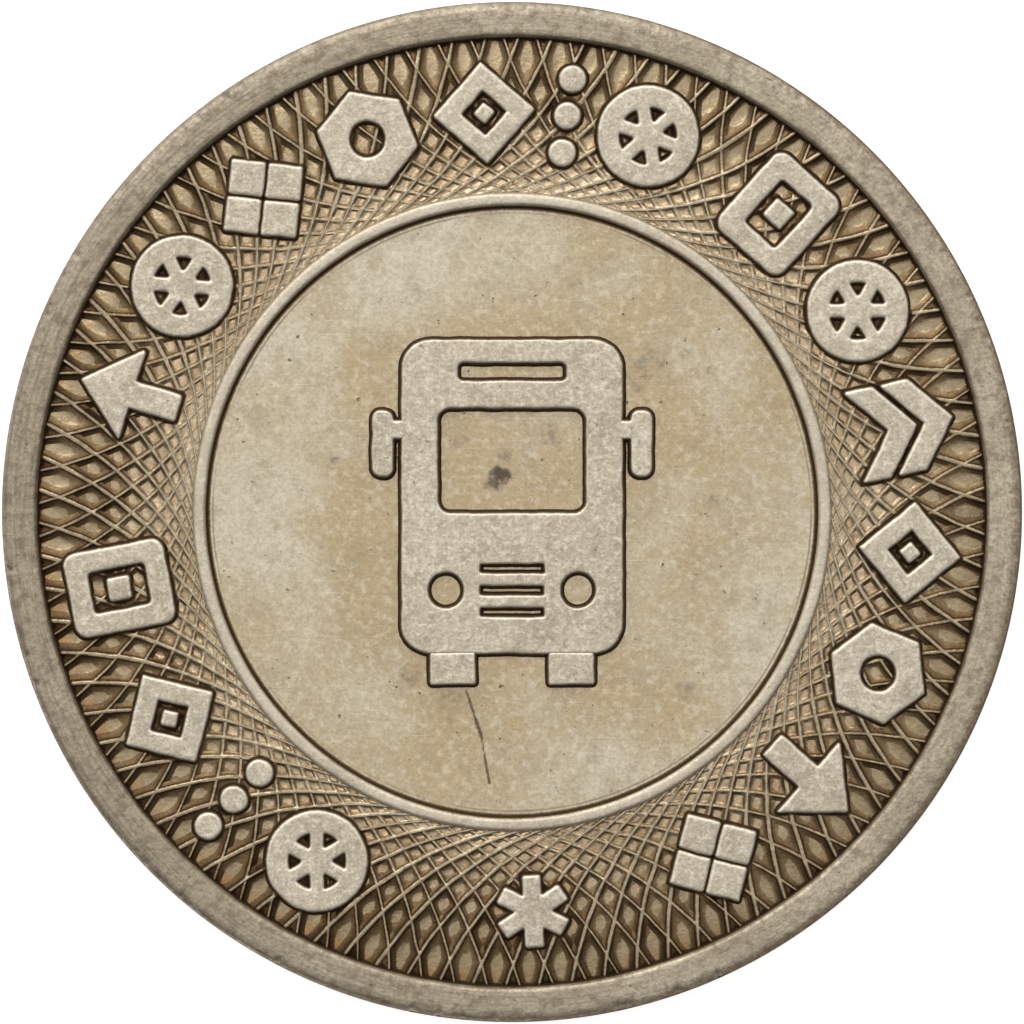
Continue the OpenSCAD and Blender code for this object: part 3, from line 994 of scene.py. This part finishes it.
def voxel_skin(mesh):
    """An even skin of small faces over a mesh, as Blender makes it."""
    solid = bpy.data.objects.new("solid", mesh)
    bpy.context.scene.collection.objects.link(solid)
    remesh = solid.modifiers.new("remesh", "REMESH")
    remesh.mode = "VOXEL"
    remesh.voxel_size = VOXEL
    remesh.adaptivity = 0
    graph = bpy.context.evaluated_depsgraph_get()
    fine = bpy.data.meshes.new_from_object(solid.evaluated_get(graph), depsgraph=graph)
    bpy.data.objects.remove(solid)
    bpy.data.meshes.remove(mesh)
    return fine


def softened(fine):
    """A fine mesh's points with its edges rounded, the normals there, and its faces."""
    points = np.empty(len(fine.vertices) * 3)
    fine.vertices.foreach_get("co", points)
    edges = np.empty(len(fine.edges) * 2, int)
    fine.edges.foreach_get("vertices", edges)
    points = relax(points.reshape(-1, 3), edges.reshape(-1, 2), 2)
    fine.vertices.foreach_set("co", points.ravel())
    fine.update()
    normals = np.empty(len(fine.vertices) * 3)
    fine.vertices.foreach_get("normal", normals)
    faces = [tuple(p.vertices) for p in fine.polygons]
    bpy.data.meshes.remove(fine)
    return points, normals.reshape(-1, 3), faces


def make_figure(node, material, seed):
    """A raised figure with drafted walls, softened edges and a slightly uneven outline."""
    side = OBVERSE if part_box(node)[1].z > 0 else REVERSE
    mesh, low, top = standing_mesh(node)
    points, normals, faces = softened(voxel_skin(mesh))
    x, y, z = points.T
    rise = np.clip((z - low) / (top - low), 0, 1)
    points[:, 0] += normals[:, 0] * DRAFT * (1 - rise)
    points[:, 1] += normals[:, 1] * DRAFT * (1 - rise)
    for axis in (0, 1):
        points[:, axis] += OUTLINE_SHAKE * layered_noise(x * 4, y * 4, seed + axis)
    points[:, 2] -= rise * 0.004 * (1 + layered_noise(x * 2.5, y * 2.5, seed + 2))
    if node.endswith("mirrors"):
        bury_arms(points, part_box(node.replace("mirrors", "body"))[1].x / MM)
    # The figures' walls and feet are darkened: partly patina, partly painted shade.
    grime = 0.64 * smooth_step(0.88, 0.7, rise) + 0.25 * smooth_step(0.5, 0.35, rise)
    # A pale band just under the top edges: painted highlight, partly rubbed wear.
    rubbed = smooth_step(0.86, 0.93, rise) * smooth_step(0.995, 0.97, rise)
    return make_piece(f"{node}_worn", points, faces, side, material, [node],
                      {"grime": grime, "rubbed": rubbed})


# ---- the studio ----


def make_floor():
    """A wide pale floor that can't be seen from below, so that the reverse can be viewed."""
    size = 40 * TOKEN_R * MM
    z = cad_low.z - FLOOR_GAP_MM * MM
    mesh = bpy.data.meshes.new("floor")
    mesh.from_pydata([(-size, -size, z), (size, -size, z), (size, size, z), (-size, size, z)],
                     [], [(0, 1, 2, 3)])
    floor = bpy.data.objects.new("floor", mesh)
    bpy.context.scene.collection.objects.link(floor)
    s = Shader("floor_white")
    s.surface.inputs["Base Color"].default_value = (0.7, 0.7, 0.7, 1)
    s.surface.inputs["Roughness"].default_value = 0.9
    s.surface.inputs["Emission Color"].default_value = (1, 1, 1, 1)
    s.surface.inputs["Emission Strength"].default_value = 0.75
    clear = s.add("ShaderNodeBsdfTransparent")
    blend = s.add("ShaderNodeMixShader")
    s.feed(blend.inputs[0], s.add("ShaderNodeNewGeometry").outputs["Backfacing"])
    s.feed(blend.inputs[1], s.surface.outputs["BSDF"])
    s.feed(blend.inputs[2], clear.outputs["BSDF"])
    s.feed(s.nodes["Material Output"].inputs["Surface"], blend.outputs["Shader"])
    mesh.materials.append(s.material)


def make_light(name, place_mm, size_mm, power):
    """A square soft light that faces the token."""
    data = bpy.data.lights.new(name, "AREA")
    data.shape = "SQUARE"
    data.size = size_mm * MM
    data.energy = power
    light = bpy.data.objects.new(name, data)
    light.location = Vector(place_mm) * MM
    light.rotation_mode = "QUATERNION"
    light.rotation_quaternion = (-light.location).to_track_quat("-Z", "Y")
    bpy.context.scene.collection.objects.link(light)


def make_camera():
    """Straight above the obverse, with the token filling the frame."""
    data = bpy.data.cameras.new("camera")
    data.lens = 200
    data.sensor_width = 36
    width = 2 * TOKEN_R * MM * CAMERA_MARGIN
    camera = bpy.data.objects.new("camera", data)
    camera.location = (0, 0, TOP_Z * MM + width * data.lens / data.sensor_width)
    data.clip_start = 0.001
    data.clip_end = 10
    bpy.context.scene.collection.objects.link(camera)
    bpy.context.scene.camera = camera


def make_world():
    """A pale studio, brightest overhead and behind the top of the token."""
    world = bpy.data.worlds.new("studio")
    world.use_nodes = True
    nodes, links = world.node_tree.nodes, world.node_tree.links
    coords = nodes.new("ShaderNodeTexCoord")
    facing = nodes.new("ShaderNodeVectorMath")
    facing.operation = "DOT_PRODUCT"
    facing.inputs[1].default_value = BRIGHT_WAY
    level = nodes.new("ShaderNodeMapRange")
    level.interpolation_type = "SMOOTHSTEP"
    level.inputs["From Min"].default_value = -0.15
    level.inputs["From Max"].default_value = 1.0
    level.inputs["To Min"].default_value = DARK_SIDE
    level.inputs["To Max"].default_value = BRIGHT_SIDE
    links.new(coords.outputs["Generated"], facing.inputs[0])
    links.new(facing.outputs["Value"], level.inputs["Value"])
    nodes["Background"].inputs["Color"].default_value = (1, 1, 1, 1)
    links.new(level.outputs["Result"], nodes["Background"].inputs["Strength"])
    bpy.context.scene.world = world
    bpy.context.scene.view_settings.view_transform = "Standard"


make_camera()
make_world()
make_floor()
make_light("key", (-70, 240, 250), 260, 0.36)

raised = worn_metal("worn_silver_grey", rgb(216, 204, 182), rgb(206, 193, 170))
ring_metal = worn_metal("ring_silver", rgb(218, 206, 184), rgb(208, 195, 172), mottle=0.2)
rim_metal = rim_metal_of("rim_grey")
lattice_metal = ridged_metal("lattice_brown")
edge_metal = rim_metal_of("edge_grey")
core_metal = worn_metal("core_grey", rgb(176, 168, 154), rgb(160, 152, 138))
beige = field_metal("field_beige")

FIGURES = {
    "obverse": ["bus_body", "bus_mirrors", "bus_wheels", "marks_left", "marks_top",
                "marks_right", "star"],
    "reverse": ["bus_body", "bus_mirrors", "bus_wheels", "marks_upper", "marks_lower", "stars"],
}

for face, side in SIDES.items():
    emblem = [f"{face}_{part}" for part in FIGURES[face] if part.startswith("bus")]
    legend = [f"{face}_{part}" for part in FIGURES[face] if not part.startswith("bus")]
    make_rim(face, side, rim_metal)
    make_inner_ring(face, side, ring_metal)
    make_lattice(face, side, lattice_metal, np.concatenate([top_outline(n) for n in legend]))
    make_field(face, side, beige, np.concatenate([top_outline(n) for n in emblem]))
    for number, part in enumerate(FIGURES[face]):
        make_figure(f"{face}_{part}", raised, 100 + 10 * number)
make_edge(edge_metal)

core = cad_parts["planchet"]
core.data.materials.clear()
core.data.materials.append(core_metal)
